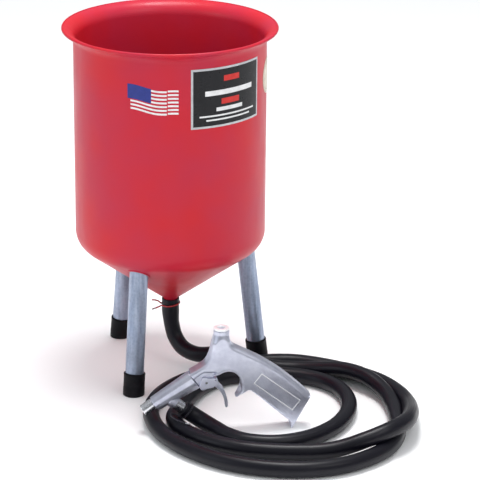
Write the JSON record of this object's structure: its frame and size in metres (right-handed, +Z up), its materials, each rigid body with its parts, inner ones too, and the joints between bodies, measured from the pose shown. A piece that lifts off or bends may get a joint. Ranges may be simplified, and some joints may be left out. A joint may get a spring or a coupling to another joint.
{
  "type": "siphon abrasive blaster",
  "caption": "Open plastic hopper on tube legs that feeds abrasive down a coiled rubber hose to a cast pistol-grip blast gun with a trigger valve.",
  "frame": {"origin": "on the floor, under the middle of the hopper and gun together, without the hose", "axes": "+Z up, +X to the viewer's right from the gun's side, -Y from the hopper towards the gun and the viewer"},
  "size_m": [0.5621, 0.6232, 0.571],
  "materials": {
    "hopper_plastic": "soft gloss",
    "zinc_tube": "galvanised",
    "foot_rubber": "matte",
    "nameplate_film": "satin",
    "decal_film": "satin",
    "label_film": "satin",
    "clamp_wire": "gloss",
    "dark_wire": "oiled",
    "hose_rubber": "satin",
    "cast_aluminium": "cast, tumbled",
    "brass": "turned",
    "nozzle_steel": "turned",
    "liner_carbide": "ground",
    "inlet_plate": "plated",
    "seat_plastic": "matte",
    "seal_rubber": "matte",
    "spring_steel": "drawn"
  },
  "bodies": {
    "blaster": {"hopper": "hopper_plastic", "leg_right": "zinc_tube", "leg_rear": "zinc_tube", "leg_front": "zinc_tube", "foot_right": "foot_rubber", "foot_rear": "foot_rubber", "foot_front": "foot_rubber", "nameplate": "nameplate_film", "side_decal": "decal_film", "round_label": "label_film", "spout_clamp": "clamp_wire", "gun_clamp": "dark_wire", "media_hose": "hose_rubber", "gun_body": "cast_aluminium", "gun_barrel": "cast_aluminium", "air_jet": "brass", "valve_guide": "brass", "nozzle": "nozzle_steel", "media_spigot": "nozzle_steel", "nozzle_liner": "liner_carbide", "air_inlet": "inlet_plate", "valve_seat": "seat_plastic", "valve_spring": "spring_steel", "trigger_pin": "spring_steel"},
    "trigger": {"trigger": "cast_aluminium"},
    "valve": {"valve_stem": "brass", "stem_seal": "seal_rubber"}
  },
  "joints": [
    {"name": "trigger_pull", "type": "hinge", "parent": "blaster", "child": "trigger", "pos_m": [0.0349, -0.2073, 0.0824], "axis": [0.1392, -0.9903, 0], "range_deg": [0, 12], "stiffness_Nm_per_rad": 2, "springref_deg": -5.73},
    {"name": "valve_lift", "type": "slide", "parent": "blaster", "child": "valve", "axis": [0, 0, 1], "range_m": [0, 0.0048], "deforming": ["valve_spring"]}
  ],
  "couplings": [
    {"joint": "valve_lift", "follows": "trigger_pull", "m_per_rad": 0.0222}
  ]
}
